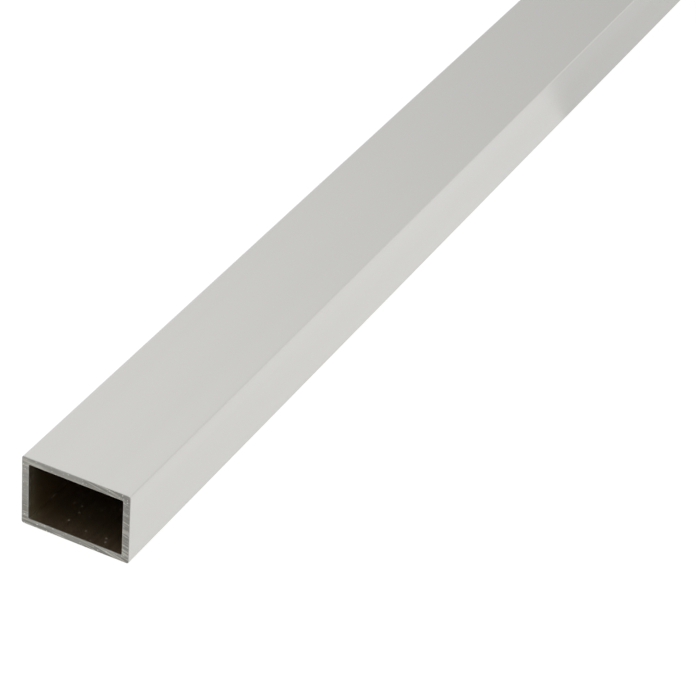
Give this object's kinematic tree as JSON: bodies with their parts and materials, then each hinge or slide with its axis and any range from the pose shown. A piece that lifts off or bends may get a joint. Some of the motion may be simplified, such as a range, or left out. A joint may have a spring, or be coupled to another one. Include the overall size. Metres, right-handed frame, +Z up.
{
  "type": "rectangular aluminium tube",
  "caption": "Straight hollow bar of rectangular section with an even wall, its ends sawn square and deburred, for light frames, rails and edging.",
  "frame": {"origin": "middle of the length and width, on the wide face that the tube lies on", "axes": "+X along the length, +Y across the wide faces, +Z up through the narrow height"},
  "size_m": [1, 0.03, 0.02],
  "materials": {
    "satin_aluminium": "satin"
  },
  "bodies": {
    "root": {"rectangular_tube": "satin_aluminium"}
  },
  "joints": []
}
